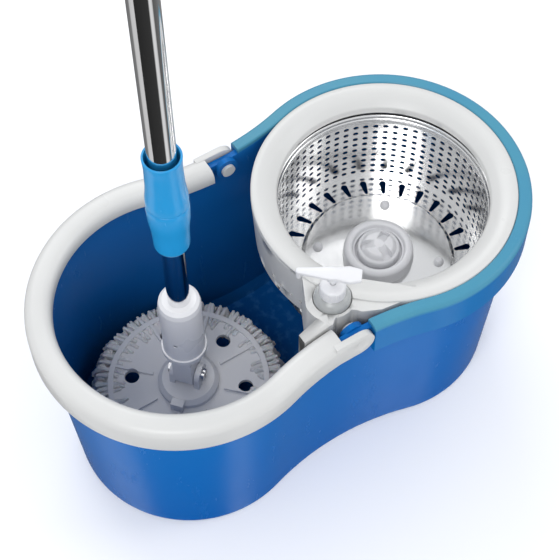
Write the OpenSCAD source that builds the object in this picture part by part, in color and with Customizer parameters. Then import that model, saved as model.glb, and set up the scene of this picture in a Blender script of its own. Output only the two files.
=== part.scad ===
// Spin mop: a figure-of-eight bucket with a carry handle, a wash lobe, a perforated
// spin basket under a white deck with a soap pump, and a press-to-spin mop that stands
// on the wash post. Millimetres, +Z up, origin on the ground under the bucket's middle.
// The wash lobe is at -X and the spin lobe at +X.

/* [Bucket] */
// Distance between the centres of the two lobes; the waist follows from it
lobe_gap = 212.8; // [204.4:1.4:256.2]
// Height of the bucket to the top of its collar
bucket_h = 228; // [190:1:275]
// Outer radius of the tub wall at the ground
base_r = 111; // [106:1:118]
// Outer radius of the tub wall at the rim
rim_r = 123; // [120:1:130]
// Thickness of the tub wall
wall = 2.6; // [1.8:0.1:3.5]
// Thickness of the tub floor
floor_t = 3; // [2:0.5:5]
// Depth of the collar's outer skirt round the spin lobe
collar_drop = 38; // [30:1:50]

/* [Carry handle] */
// Outer reach of the handle and of the collar beyond the tub wall
reach = 9.5; // [8:0.5:14]
// Width of the handle channel
handle_w = 23.5; // [22:0.5:28]
// Depth of the handle's outer side
handle_drop = 27; // [22:1:34]
// Thickness of the handle's skin
handle_t = 2.6; // [2:0.1:3.5]
// Radius of the handle's pivot pins
pin_r = 4; // [3:0.5:5]

/* [Deck and soap pump] */
// Radius of the round opening over the basket
opening_r = 96; // [84:1:98]
// Thickness of the deck
deck_t = 2.5; // [2:0.1:3.5]
// Depth of the deck's splash skirt on the wash side
skirt_drop = 63; // [40:1:75]
// Radius of the soap bottle
bottle_r = 16.5; // [14:0.5:18]
// Depth of the well that the bottle stands in
well_depth = 58; // [45:1:70]
// Travel of the pump head
pump_travel = 7; // [4:0.5:8]

/* [Spin basket] */
// Outer radius of the basket wall
basket_r = 98; // [84:1:100]
// Height of the basket wall
basket_h = 96; // [70:1:98]
// Thickness of the basket's steel
steel_t = 1; // [0.6:0.1:1.4]
// Drain windows in each row of the wall
hole_columns = 32; // [16:4:36]
// Rows of drain windows
hole_rows = 4; // [2:1:4]
// Drain slots round the basket's floor
slot_count = 28; // [12:2:30]
// Radius of the spindle shaft
shaft_r = 4; // [3:0.5:5]

/* [Mop] */
// Radius of the mop plate
plate_r = 76; // [64:1:80]
// Height of the mop plate's underside above the ground
plate_z = 70; // [60:1:84]
// Radius of the swivel base on the plate
swivel_r = 28.5; // [24:0.5:32]
// Outer radius of the lower tube
inner_tube_r = 10; // [9:0.5:10.5]
// Gap between the two tubes
tube_gap = 0.7; // [0.5:0.1:1]
// Thickness of the tubes' steel
tube_t = 0.8; // [0.5:0.1:1]
// Travel of the upper tube over the lower tube
press_travel = 400; // [330:5:460]
// Lead of the twisted drive rod
rod_lead = 100; // [60:5:160]
// Direction of the swivel screw, from +X towards +Y
swivel_a = -50; // [-180:5:180]

/* [Hidden] */
$fn = 96;

// Shared measures
eps = 0.02;                          // overlap that joins pieces of one node
seat_gap = 0.4;                      // gap between a seated piece and its housing
fit_gap = 0.05;                      // gap between fixed round pieces
run_gap = 0.1;                       // gap of a turning or sliding fit
half_gap = lobe_gap / 2;
blend = [0.28, 0.96];                // direction from a lobe's centre to the waist arc's centre
blend_d = half_gap / blend[0];       // distance between those centres
blend_y = blend_d * blend[1];
lobe_a = atan2(blend[1], blend[0]);
waist_a = 90 - lobe_a;
lean = (rim_r - base_r) / bucket_h;
rim_out = rim_r + reach;             // outer radius of handle and collar
foot_lift = 3;                       // underside of the floor above the ground
floor_top = foot_lift + floor_t;
foot_w = 12;
edge_r = 6;

function wall_r(z) = base_r + lean * z;
function arc(x, y, r, a0, a1, n) =
  [for (i = [0:n]) [x + r * cos(a0 + (a1 - a0) * i / n), y + r * sin(a0 + (a1 - a0) * i / n)]];
function waist_y(r, x) = blend_y - sqrt(pow(blend_d - r, 2) - x * x);

// A (radius, height) profile swept round a lobe's outer side; the waist's side stays open
module lobe_sweep() {
  difference() {
    rotate_extrude() children();
    translate([0, 0, -1]) linear_extrude(bucket_h + 2)
      polygon([[0, 0], 500 * blend, [500 * blend[0], -500 * blend[1]]]);
  }
}
module round_wash() {
  translate([-half_gap, 0, 0]) lobe_sweep() children();
}
module round_spin() {
  translate([half_gap, 0, 0]) mirror([1, 0, 0]) lobe_sweep() children();
}
// The same profile swept along both sides of the waist, from x0 to x1
module along_waist(x0, x1) {
  for (side = [0, 1]) mirror([0, side, 0]) intersection() {
    translate([0, blend_y, 0]) rotate_extrude() translate([blend_d, 0]) mirror([1, 0]) children();
    translate([0, blend_y, -1]) linear_extrude(bucket_h + 2)
      polygon([[0, 0], -500 * blend, [500 * blend[0], -500 * blend[1]]]);
    translate([x0, 0, -1]) cube([x1 - x0, rim_out, bucket_h + 2]);
  }
}
// A rod along Y from y0 to y1
module bar_y(x, y0, y1, z, r) {
  translate([x, y0, z]) rotate([-90, 0, 0]) cylinder(r = r, h = y1 - y0);
}
// A rod and a tube along Z from z0 to z1
module rod(r, z0, z1) {
  translate([0, 0, z0]) cylinder(r = r, h = z1 - z0);
}
module tube(r_in, r_out, z0, z1) {
  difference() {
    rod(r_out, z0, z1);
    rod(r_in, z0 - 1, z1 + 1);
  }
}
module turned(points) {
  rotate_extrude() polygon(points);
}
module at_wash() {
  translate([-half_gap, 0, 0]) children();
}
module at_spin() {
  translate([half_gap, 0, 0]) children();
}

// ---- bucket ----
pivot_x = 3;                         // the handle's hinge line
lug_r = handle_drop / 2;
pivot_z = bucket_h - lug_r;
ear_gap = 1;                         // air between the handle's end and the collar
collar_x = pivot_x + lug_r + ear_gap;
collar_z = bucket_h - collar_drop;
rim_top = bucket_h - handle_t - 3;   // top of the tub's wall under the handle
rim_lip = 3;                         // the wall's rolled lip reaches out this far
ledge_z = bucket_h - 28;             // the deck stands on this ledge
ledge_w = 5;
pad_r = pin_r + 7;                   // thickened pad round the pivot's hole

function foot_profile() = concat([[base_r - foot_w, floor_top], [base_r - foot_w, 0]],
  arc(base_r - edge_r, edge_r, edge_r, -90, 0, 6));
function tub_profile() = concat(foot_profile(),
  [[wall_r(rim_top - 4), rim_top - 4], [wall_r(rim_top) + rim_lip, rim_top - 3],
   [wall_r(rim_top) + rim_lip, rim_top], [wall_r(rim_top) - wall, rim_top],
   [wall_r(16) - wall, 16], [base_r - wall - 6, floor_top]]);
function ledge_profile() = [[wall_r(ledge_z) - wall - ledge_w, ledge_z],
  [wall_r(ledge_z) - wall / 2, ledge_z], [wall_r(ledge_z) - wall / 2, ledge_z - 8]];

module bucket_tub() {
  color("dodgerblue") difference() {
    union() {
      round_spin() polygon(tub_profile());
      along_waist(-half_gap, half_gap) polygon(tub_profile());
      translate([0, 0, foot_lift]) linear_extrude(floor_t) polygon(plan(base_r - foot_w + 4));
      round_spin() polygon(ledge_profile());
      round_wash() polygon(tub_profile());
      for (side = [0, 1]) mirror([0, side, 0])
        bar_y(pivot_x, pin_head_y, waist_y(wall_r(pivot_z), 0) - wall / 2, pivot_z, pad_r);
    }
    bar_y(pivot_x, -rim_out, rim_out, pivot_z, pin_r + run_gap);
  }
}
// Collar that caps the tub's rim round the spin lobe, with a deep outer skirt
collar_round = 5;
function collar_profile() = concat(
  [[wall_r(rim_top) - wall, rim_top], [rim_out - wall, rim_top], [rim_out - wall, collar_z],
   [rim_out, collar_z]],
  arc(rim_out - collar_round, bucket_h - collar_round, collar_round, 0, 90, 6),
  [[wall_r(rim_top) - wall + 1, bucket_h], [wall_r(rim_top) - wall, bucket_h - 1]]);
function block_profile() = [
  [wall_r(rim_top) + rim_lip + fit_gap, collar_z], [rim_out - 1, collar_z],
  [rim_out - 1, bucket_h - 4], [wall_r(rim_top) + rim_lip + fit_gap, bucket_h - 4]];
module rim_collar() {
  color("dodgerblue") {
    along_waist(collar_x, half_gap) polygon(collar_profile());
    round_spin() polygon(collar_profile());
    along_waist(collar_x, collar_x + 4) polygon(block_profile());
  }
}
// Plan of the figure of eight whose lobes have radius r
function plan(r) = concat(
  arc(-half_gap, 0, r, lobe_a, 360 - lobe_a, 48),
  arc(0, -blend_y, blend_d - r, 90 + waist_a, 90 - waist_a, 8),
  arc(half_gap, 0, r, lobe_a - 180, 180 - lobe_a, 48),
  arc(0, blend_y, blend_d - r, waist_a - 90, -90 - waist_a, 8));

// ---- carry handle ----
handle_in = rim_out - handle_w;
lip_x = -14;                         // the channel ends here, and a flat lug goes on
lip_drop = 15;
in_round = 9;
out_round = 8;
pad_gap = 0.6;                       // air beside the lug
lug_y0 = waist_y(wall_r(rim_top) + rim_lip, lip_x - 8) + pad_gap;
lug_y1 = waist_y(rim_out, 0) + 0.6;
pin_head_y = waist_y(wall_r(pivot_z), 0) - wall - 4;

function handle_profile() = concat([[handle_in, bucket_h - lip_drop]],
  arc(handle_in + in_round, bucket_h - in_round, in_round, 180, 90, 6),
  arc(rim_out - out_round, bucket_h - out_round, out_round, 90, 0, 6),
  [[rim_out, bucket_h - handle_drop], [rim_out - handle_t, bucket_h - handle_drop]],
  arc(rim_out - out_round, bucket_h - out_round, out_round - handle_t, 0, 90, 6),
  arc(handle_in + in_round, bucket_h - in_round, in_round - handle_t, 90, 180, 6),
  [[handle_in + handle_t, bucket_h - lip_drop]]);

module carry_handle() {
  color("white") difference() {
    union() {
      round_wash() polygon(handle_profile());
      along_waist(-half_gap, lip_x) polygon(handle_profile());
      for (side = [0, 1]) mirror([0, side, 0]) {
        bar_y(pivot_x, lug_y0, lug_y1, pivot_z, lug_r);
        translate([lip_x - 8, lug_y0, pivot_z - lug_r])
          cube([pivot_x - lip_x + 8, lug_y1 - lug_y0, 2 * lug_r]);
      }
    }
    bar_y(pivot_x, -rim_out, rim_out, pivot_z, pin_r);
  }
}

// Pivot pins: pressed into the handle's lugs, they turn in the tub's wall
module handle_pins() {
  color("white") for (side = [0, 1]) mirror([0, side, 0]) {
    bar_y(pivot_x, pin_head_y - 3, pin_head_y - run_gap, pivot_z, pin_r + 2.5);
    bar_y(pivot_x, pin_head_y - run_gap - eps, lug_y1, pivot_z, pin_r);
  }
}

// ---- deck over the spin lobe, with the soap bottle's well ----
well_x = 4;
well_y = -71;
well_r = bottle_r + 0.7;
shell_r = well_r + 7;                // housing round the well
deck_top = bucket_h - 2;
lip_z = bucket_h - 8;                // the opening's edge
skirt_z = bucket_h - skirt_drop;
tab_a = 108;                         // rear end of the free skirt
join_a = 206;                        // where the skirt meets the housing
chin_x = -40;                        // front corner of the deck, beside the handle
function deck_r(z) = wall_r(min(z, rim_top)) - wall - seat_gap;
function inner_y(z, x) = waist_y(deck_r(z), x);
// The deck's front edge keeps clear of the handle's inner lip
function chin_y(x) = waist_y(handle_in, x) - 1;
function ring_at(r, a) = [half_gap + r * cos(a), r * sin(a)];

function deck_ring() = [[opening_r, lip_z - 7], [opening_r, lip_z - 1.5], [opening_r + 1.5, lip_z],
  [opening_r + 12, bucket_h - 1], [deck_r(bucket_h) - 1, bucket_h], [deck_r(bucket_h), bucket_h - 1],
  [deck_r(ledge_z), ledge_z], [deck_r(ledge_z) - deck_t, ledge_z],
  [deck_r(bucket_h) - deck_t, bucket_h - deck_t - 1],
  [opening_r + 12, bucket_h - deck_t - 1], [opening_r + deck_t, lip_z - 3],
  [opening_r + deck_t, lip_z - 7]];

// Outline of the housing round the well, as far as the tub's wall; inset for its inside
function housing(inset) = concat(
  [ring_at(deck_r(skirt_z) - 6, join_a - 6), ring_at(deck_r(skirt_z) - inset, join_a - 8)],
  arc(well_x, well_y, shell_r - inset, 168, 205, 5),
  [[chin_x + inset, 9 - chin_y(chin_x) + inset], [chin_x + inset, inset - chin_y(chin_x)],
   [lip_x + 1, inset - chin_y(lip_x)]],
  arc(pivot_x, -inner_y(skirt_z, 0) - 3, pad_r + 6 + inset, 140, 30, 8),
  [[pivot_x + 30, inset - inner_y(skirt_z, 30)], [pivot_x + 48, inset - inner_y(skirt_z, 48)],
   ring_at(opening_r + 10.5, 250)]);

module deck() {
  color("whitesmoke") difference() {
    union() {
      at_spin() turned(deck_ring());
      at_spin() rotate([0, 0, tab_a]) rotate_extrude(angle = join_a - tab_a)
        polygon([[deck_r(bucket_h) - deck_t, bucket_h - 6], [deck_r(bucket_h), bucket_h - 6],
                 [deck_r(skirt_z), skirt_z], [deck_r(skirt_z) - deck_t, skirt_z]]);
      translate([0, 0, deck_top - deck_t]) linear_extrude(deck_t) polygon(housing(0));
      translate([0, 0, skirt_z]) linear_extrude(skirt_drop - 2 - deck_t / 2) difference() {
        polygon(housing(0));
        polygon(housing(deck_t));
      }
      translate([well_x, well_y, deck_top - well_depth - deck_t])
        cylinder(r = well_r + deck_t, h = well_depth + deck_t - 0.5);
    }
    translate([well_x, well_y, deck_top - well_depth]) cylinder(r = well_r, h = well_depth + 20);
    at_spin() rod(opening_r, skirt_z - 30, bucket_h + 10);
    at_spin() rod(basket_r + steel_t + 5, skirt_z - 30, lip_z - 7);
    drain_holes();
  }
}
// Small drain holes through the skirt, over the wash lobe
module drain_holes() {
  for (i = [0:3]) at_spin() rotate([0, 0, join_a - 26 + 6 * i])
    translate([opening_r, 0, skirt_z + 14]) rotate([0, 90, 0]) cylinder(r = 2.2, h = 40);
}

// ---- spindle under the basket, post under the mop ----
basket_top = lip_z - 12;             // the basket's rim stays under the deck's edge
basket_z = basket_top - basket_h;    // underside of the basket's floor
tower_top = basket_z - 28;           // top of the spindle's stand
stand_flange_r = 42;
stand_flange_t = 4;
screw_r = 2;
shaft_z = tower_top - 40;
bush_t = 2;
wash_top = plate_z - 18;             // top of the post in the wash lobe
wash_flange_r = 38;
axle_r = 4;

module stand(flange_r, foot_r, top_r, top_z, bore_r, bore_z) {
  difference() {
    union() {
      rod(flange_r, floor_top, floor_top + stand_flange_t);
      turned([[0, floor_top], [foot_r, floor_top], [foot_r, floor_top + stand_flange_t],
              [top_r, top_z], [0, top_z]]);
    }
    rod(bore_r, bore_z, top_z + 1);
    for (a = [0:120:240]) rotate([0, 0, a]) translate([flange_r - 8, 0, 0])
      rod(screw_r + 0.2, floor_top - 1, floor_top + stand_flange_t + 1);
  }
}
module spindle_stand() {
  color("whitesmoke") at_spin() stand(stand_flange_r, 28, 13, tower_top, shaft_r, shaft_z);
}
module wash_stand() {
  color("whitesmoke") at_wash() stand(wash_flange_r, 22, 14, wash_top, axle_r, 16);
}
module screws(circle_r) {
  for (a = [0:120:240]) rotate([0, 0, a]) translate([circle_r, 0, 0]) {
    rod(screw_r, foot_lift + 0.6, floor_top + stand_flange_t + eps);
    rod(screw_r * 2, floor_top + stand_flange_t, floor_top + stand_flange_t + 2);
  }
}
module stand_screws() {
  color("silver") {
    at_spin() screws(stand_flange_r - 8);
    at_wash() screws(wash_flange_r - 8);
  }
}
clip_t = 1;
module spindle_shaft() {
  color("silver") at_spin() difference() {
    union() {
      rod(shaft_r, shaft_z, shaft_top - 1);
      translate([0, 0, shaft_top - 1 - eps]) cylinder(r1 = shaft_r, r2 = shaft_r - 1, h = 1);
    }
    tube(shaft_r - 0.8, shaft_r + 2, groove_z, groove_z + clip_t);
  }
}
washer_t = 1.5;
module thrust_washer() {
  color("silver") at_spin() tube(shaft_r + run_gap, 11, tower_top, tower_top + washer_t);
}
// An open ring in the shaft's groove
module spindle_clip() {
  color("dimgray") at_spin() difference() {
    tube(shaft_r - 0.8 + fit_gap, shaft_r + 3, groove_z + 0.1, groove_z + clip_t - 0.1);
    translate([0, -2, groove_z - 1]) cube([20, 4, 4]);
  }
}

// ---- spin basket ----
rim_h = 12;
slot_in = 74;
slot_out = basket_r - 8;
disc_rise = 4;                       // the mirror disc stands above the floor's edge
disc_r = slot_in - 5;
hub_r = 33;
hub_z = basket_z + disc_rise + steel_t;
boss_top = hub_z + 3;                // top of the carrier's boss inside the hub
groove_z = boss_top + 1;
shaft_top = groove_z + 4;
stud_r = 5;
stud_circle = 58;
window_w = 9;
window_h = 13;

module basket_wall() {
  pitch = (basket_h - rim_h - 8) / hole_rows;
  color("silver") at_spin() difference() {
    tube(basket_r - steel_t, basket_r, basket_z + steel_t, basket_top - steel_t);
    for (row = [0:hole_rows - 1]) for (c = [0:hole_columns - 1])
      rotate([0, 0, 360 / hole_columns * (c + 0.5 * (row % 2))])
        translate([basket_r - 6, -window_w / 2, basket_z + 7 + row * pitch])
          cube([12, window_w, window_h]);
  }
}
module basket_rim() {
  bead = 2;
  in_r = basket_r - steel_t - fit_gap;
  out_r = basket_r + fit_gap;
  color("silver") at_spin() turned(concat(
    [[in_r, basket_top - rim_h], [in_r, basket_top - steel_t], [out_r, basket_top - steel_t],
     [out_r, basket_top - rim_h], [out_r + steel_t, basket_top - rim_h]],
    arc(out_r + steel_t, basket_top - bead, bead, -60, 90, 6),
    [[in_r - steel_t, basket_top], [in_r - steel_t, basket_top - 3],
     [in_r - steel_t - 1, basket_top - 4.5], [in_r - steel_t, basket_top - 6],
     [in_r - steel_t, basket_top - rim_h]]));
}
module basket_floor() {
  color("silver") at_spin() difference() {
    turned([[hub_bore, basket_z + disc_rise], [disc_r, basket_z + disc_rise], [disc_r + 4, basket_z],
            [basket_r, basket_z], [basket_r, basket_z + steel_t], [disc_r + 4.5, basket_z + steel_t],
            [disc_r + 0.5, basket_z + disc_rise + steel_t], [hub_bore, basket_z + disc_rise + steel_t]]);
    for (i = [0:slot_count - 1]) rotate([0, 0, 360 / slot_count * i]) drain_slot();
    for (a = [0:90:270]) rotate([0, 0, a + stud_a]) translate([stud_circle, 0, 0])
      rod(stud_r - 1.4, basket_z - 5, basket_z + 20);
  }
}
stud_a = 49;
hub_bore = 18;
// A slot that widens outwards and leans over
module drain_slot() {
  for (p = [[slot_in + 2, 0, 1.8], [slot_out - 3.4, 1.5, 3.2]])
    translate([p[0], p[1], 0]) rod(p[2], basket_z - 5, basket_z + 9);
  translate([0, 0, basket_z - 5]) linear_extrude(14)
    polygon([[slot_in + 2, -1.8], [slot_out - 3.4, -1.7], [slot_out - 3.4, 4.7], [slot_in + 2, 1.8]]);
}
// Plastic carrier under the steel floor; its tube turns on the shaft
module basket_carrier() {
  tube_r = 15;
  color("whitesmoke") at_spin() difference() {
    union() {
      turned([[0, basket_z - 6], [disc_r, basket_z - 6], [disc_r, basket_z - 1],
              [disc_r - 2, basket_z + disc_rise], [0, basket_z + disc_rise]]);
      rod(tube_r, carrier_z, basket_z);
      rod(hub_bore - 0.3, basket_z, boss_top);
      for (a = [0:60:300]) rotate([0, 0, a]) translate([tube_r - 1, -1.25, basket_z - 15])
        cube([disc_r - tube_r - 6, 2.5, 10]);
    }
    rod(bush_r, carrier_z - 1, hub_z + 4);
    for (a = [0:90:270]) rotate([0, 0, a + stud_a]) translate([stud_circle, 0, 0])
      rod(stud_r - 1.5, basket_z - 10, basket_z + 20);
  }
}
carrier_z = tower_top + washer_t + seat_gap;
bush_r = shaft_r + bush_t;
bush_h = 10;
module hub_bush_lower() {
  color("tan") at_spin() tube(shaft_r + run_gap, bush_r, tower_top + washer_t + run_gap,
    carrier_z + bush_h);
}
module hub_bush_upper() {
  color("tan") at_spin() tube(shaft_r + run_gap, bush_r, boss_top - bush_h, boss_top);
}
module basket_studs() {
  color("white") at_spin() for (a = [0:90:270]) rotate([0, 0, a + stud_a])
    translate([stud_circle, 0, 0]) {
      rod(stud_r - 1.5, basket_z - 8, hub_z + eps);
      turned(concat([[0, hub_z]], arc(0, hub_z, stud_r, 0, 60, 6), [[0, hub_z + stud_r * sin(60)]]));
    }
}
// White hub that the mop's plate sits on in the basket
hub_h = 14;
cup_r = 20;
module basket_hub() {
  color("white") at_spin() turned([
    [hub_bore, hub_z], [hub_r + 1, hub_z], [hub_r, hub_z + 4], [hub_r, hub_z + hub_h - 1.5],
    [hub_r - 1.5, hub_z + hub_h], [hub_r - 7, hub_z + hub_h], [hub_r - 8, hub_z + hub_h - 4],
    [cup_r + 2.5, hub_z + hub_h - 4], [cup_r + 2.5, hub_z + 4], [hub_bore, hub_z + 4]]);
}
// Central button with three keyed flanks; it covers the shaft's end
module hub_cap() {
  cap_top = hub_z + hub_h + 6;
  color("white") at_spin() difference() {
    union() {
      rod(cup_r, hub_z + 4, hub_z + hub_h + 1);
      translate([0, 0, hub_z + hub_h + 1 - eps]) cylinder(r1 = cup_r - 2, r2 = cup_r - 6, h = 5);
    }
    rod(hub_bore - 6, hub_z, shaft_top + 1.5);
    for (a = [30:120:270]) rotate([0, 0, a]) translate([cup_r - 9, -4, cap_top - 9])
      rotate([0, 35, 0]) cube([16, 8, 9]);
  }
}

// ---- the turning cap on the wash post ----
module wash_axle() {
  color("silver") at_wash() rod(axle_r, 16, wash_top + 12);
}
module wash_cap() {
  color("white") at_wash() difference() {
    union() {
      rod(20, wash_top + seat_gap, plate_z - 5);
      rod(12, plate_z - 5 - eps, plate_z);
      rod(8.5, plate_z - eps, plate_z + 2.5);
    }
    rod(axle_r + run_gap, wash_top, wash_top + 12.6);
  }
}

// ---- soap bottle and pump ----
bottle_z = deck_top - well_depth;
shoulder_z = deck_top + 3;
neck_z = shoulder_z + 7;
neck_r = 9;
closure_z = neck_z - 1;
closure_h = 15;
stem_r = 2.2;
head_z = closure_z + closure_h + pump_travel + 1.5;
module at_bottle() {
  translate([well_x, well_y, 0]) children();
}
module soap_bottle() {
  color("lightgray") at_bottle() turned([
    [0, bottle_z], [bottle_r - 2, bottle_z], [bottle_r, bottle_z + 2], [bottle_r, shoulder_z - 3],
    [bottle_r - 2, shoulder_z], [neck_r, shoulder_z + 3], [neck_r, neck_z + 9],
    [neck_r - 1.4, neck_z + 9], [neck_r - 1.4, shoulder_z + 2.2], [bottle_r - 3.5, shoulder_z - 1.4],
    [bottle_r - 1.4, shoulder_z - 4], [bottle_r - 1.4, bottle_z + 3], [bottle_r - 3, bottle_z + 1.6],
    [0, bottle_z + 1.6]]);
}
module pump_closure() {
  color("white") at_bottle() difference() {
    union() {
      rod(neck_r + 2.4, closure_z, neck_z + 12);
      translate([0, 0, neck_z + 12 - eps])
        cylinder(r1 = neck_r + 1.4, r2 = neck_r - 2, h = closure_z + closure_h - neck_z - 12);
    }
    rod(neck_r + 0.15, closure_z - 1, neck_z + 10.6);
    rod(barrel_r + fit_gap, closure_z - 1, neck_z + 11.8);
    rod(stem_r + 0.3, closure_z, closure_z + closure_h + 1);
  }
}
barrel_r = 5.5;
barrel_z = neck_z - 26;
module pump_gasket() {
  color("dimgray") at_bottle() tube(barrel_r + fit_gap, neck_r, neck_z + 9, neck_z + 10);
}
module pump_housing() {
  color("gainsboro") at_bottle() turned([
    [2.4, barrel_z - 8], [2.4, barrel_z + 1], [barrel_r - 1.2, barrel_z + 2],
    [barrel_r - 1.2, neck_z + 11.6], [barrel_r, neck_z + 11.6], [barrel_r, barrel_z],
    [3.4, barrel_z - 1], [3.4, barrel_z - 8]]);
}
module dip_tube() {
  color("white") at_bottle() tube(1.5, 2.4 - fit_gap, bottle_z + 4, barrel_z - 1);
}
spring_z0 = barrel_z + 2.2;
spring_z1 = neck_z - 6;
module pump_spring() {
  turns = 5;
  wire = 0.5;
  coil_r = 3.4;
  pitch = (spring_z1 - spring_z0 - 4 * wire) / turns;
  color("silver") at_bottle() {
    for (i = [0:turns]) translate([0, 0, spring_z0 + wire + 0.1 + pitch * i])
      rotate_extrude() translate([coil_r, 0]) circle(r = wire, $fn = 16);
    for (i = [0:turns - 1]) rotate([0, 0, 180 * (i % 2)]) translate([coil_r, 0, 0])
      rod(wire * 0.7, spring_z0 + wire + pitch * i, spring_z0 + wire + pitch * (i + 1));
  }
}
module pump_stem() {
  color("white") at_bottle() difference() {
    union() {
      rod(stem_r, spring_z1 + 1, head_z + 6);
      rod(barrel_r - 1.2 - run_gap, spring_z1 + 0.2, spring_z1 + 4);
    }
    rod(1, spring_z1 - 1, head_z + 7);
  }
}
spout_a = 142;                       // the spout points over the wash lobe
module pump_head() {
  head_h = 8;
  color("white") at_bottle() difference() {
    union() {
      rod(6.5, head_z, head_z + head_h);
      rotate([0, 0, spout_a]) {
        translate([0, 0, head_z + 2]) linear_extrude(head_h - 2)
          polygon([[0, -6], [14, -4.5], [33, -2.6], [33, 2.6], [14, 4.5], [0, 6]]);
        translate([29, 0, head_z - 3]) rod(2.6, 0, 8);
        translate([-16, 0, head_z + 4]) rod(8, 0, 4);
        translate([-16, -7, head_z + 4]) cube([16, 14, 4]);
      }
    }
    rod(stem_r, head_z - 1, head_z + 6);
    rotate([0, 0, spout_a]) translate([29, 0, head_z - 4]) rod(1.2, 0, 6);
  }
}

// ---- mop head ----
plate_t = 4;
strand_r = 88;
strand_drop = 44;
base_z = plate_z + plate_t;          // the swivel base stands on the plate
base_h = 9;
knuckle_r = 12;
pivot_h = base_z + base_h + knuckle_r + 1;   // the swivel screw
screw_rod_r = 3;
module mop_plate() {
  color("whitesmoke") at_wash() difference() {
    union() {
      rod(plate_r, plate_z, plate_z + plate_t);
      tube(plate_r - 5, plate_r, plate_z, plate_z + plate_t + 3);
      for (a = [0:45:315]) rotate([0, 0, a]) translate([swivel_r + 6, -1.5, plate_z + plate_t - eps])
        cube([plate_r - swivel_r - 10, 3, 3]);
      rod(22, plate_z - 5, plate_z);
    }
    rod(12.3, plate_z - 6, plate_z + plate_t + 1);
    for (a = [0:60:300]) rotate([0, 0, a + 22]) translate([54, 0, 0]) rod(7, plate_z - 1, plate_z + 20);
  }
}
module strand_ring() {
  color("white") at_wash() turned([
    [plate_r - 14, plate_z - 6], [plate_r + 1.5, plate_z - 6], [plate_r + 1.5, plate_z + 3],
    [plate_r + 0.3, plate_z + 3], [plate_r + 0.3, plate_z], [plate_r - 14, plate_z]]);
}
module mop_strands() {
  top = plate_z - 6;
  color("white") at_wash() turned([
    [46, top - 2], [strand_r - 14, top - 2], [plate_r + 2, top], [plate_r + 2, plate_z + 2],
    [strand_r, plate_z - 8], [strand_r, plate_z - strand_drop + 12], [strand_r - 8, plate_z - strand_drop],
    [46, plate_z - strand_drop + 6]]);
}
// Two cheeks on the base hold the socket's knuckle
module swivel_base() {
  cheek_t = 5;
  color("white") at_wash() rotate([0, 0, swivel_a]) difference() {
    union() {
      turned([[0, base_z], [swivel_r, base_z], [swivel_r, base_z + 5],
              [swivel_r - 4, base_z + base_h], [0, base_z + base_h]]);
      rod(12, plate_z + 0.2, base_z + eps);
      for (side = [-1, 1]) cheek(side * (knuckle_w / 2 + cheek_t / 2 + 0.5), cheek_t);
    }
    translate([-30, 0, pivot_h]) rotate([0, 90, 0]) cylinder(r = screw_rod_r, h = 60);
    rod(9, plate_z - 1, plate_z + 3);
  }
}
knuckle_w = 18;
module cheek(x, t) {
  translate([x - t / 2, 0, pivot_h]) rotate([0, 90, 0]) cylinder(r = 10, h = t);
  translate([x - t / 2, -10, base_z + base_h - eps]) cube([t, 20, pivot_h - base_z - base_h]);
}
// Two spring clips hold the swivel base on the plate
module swivel_clips() {
  color("white") at_wash() for (side = [0, 180]) rotate([0, 0, swivel_a + 90 + side]) {
    translate([swivel_r + 0.4, -6, base_z]) cube([4, 12, 7]);
    translate([swivel_r - 3, -6, base_z + 5.3 + 3.8]) cube([7.4, 12, 1.6]);
    translate([swivel_r + 0.4, -6, base_z + 6]) cube([4, 12, 4]);
  }
}
// Along the swivel screw, at its height
module at_swivel() {
  at_wash() rotate([0, 0, swivel_a]) translate([0, 0, pivot_h]) rotate([0, 90, 0]) children();
}
module swivel_screw() {
  color("silver") at_swivel() difference() {
    union() {
      rod(screw_rod_r, -knuckle_w / 2 - 9, knuckle_w / 2 + 8);
      rod(6, knuckle_w / 2 + 5.5, knuckle_w / 2 + 8.5);
    }
    for (a = [0, 90]) rotate([0, 0, a]) translate([-4, -0.7, knuckle_w / 2 + 7]) cube([8, 1.4, 30]);
    rod(10, knuckle_w / 2 + 8.5, 60);
  }
}
module swivel_nut() {
  color("silver") at_swivel() difference() {
    translate([0, 0, -knuckle_w / 2 - 8.5]) cylinder(r = 6, h = 3, $fn = 6);
    rod(screw_rod_r, -40, 0);
  }
}

// ---- pole ----
socket_z = pivot_h + 46;
socket_top = socket_z + 82;
socket_r = 19;
inner_z = socket_z + 8;
socket_rivet_z = socket_z + 30;
socket_rivet_r = 2;
cup_z = socket_top + 85;             // lower end of the two collars
collar_mid = cup_z + 59;
collar_top = collar_mid + 59;
outer_in = inner_tube_r + tube_gap;
outer_tube_r = outer_in + tube_t;
outer_z = collar_mid + 6;
inner_top = outer_z + press_travel + 60;
outer_top = inner_top + 46;
module pole_socket() {
  color("white") at_wash() rotate([0, 0, swivel_a]) difference() {
    union() {
      translate([-knuckle_w / 2, 0, pivot_h]) rotate([0, 90, 0]) cylinder(r = knuckle_r, h = knuckle_w);
      translate([-knuckle_w / 2, -knuckle_r, pivot_h])
        cube([knuckle_w, 2 * knuckle_r, socket_z - pivot_h - 6]);
      turned([[0, socket_z - 16], [14, socket_z - 12], [socket_r - 1, socket_z],
              [socket_r, socket_z + 2], [socket_r, socket_top - 8], [socket_r - 1, socket_top - 3],
              [socket_r - 4, socket_top], [0, socket_top]]);
      tube(socket_r - 2, socket_r + 1.5, socket_z, socket_z + 5);
    }
    rod(inner_tube_r, inner_z, socket_top + 1);
    translate([-30, 0, pivot_h]) rotate([0, 90, 0]) cylinder(r = screw_rod_r + run_gap, h = 60);
    rivet_bore(socket_rivet_z, socket_rivet_r);
  }
}
module socket_rivet() {
  color("silver") at_wash() rotate([0, 0, swivel_a]) translate([0, 0, socket_rivet_z])
    rotate([-90, 0, 0]) rod(socket_rivet_r, -socket_r + 0.4, socket_r - 0.4);
}
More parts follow.
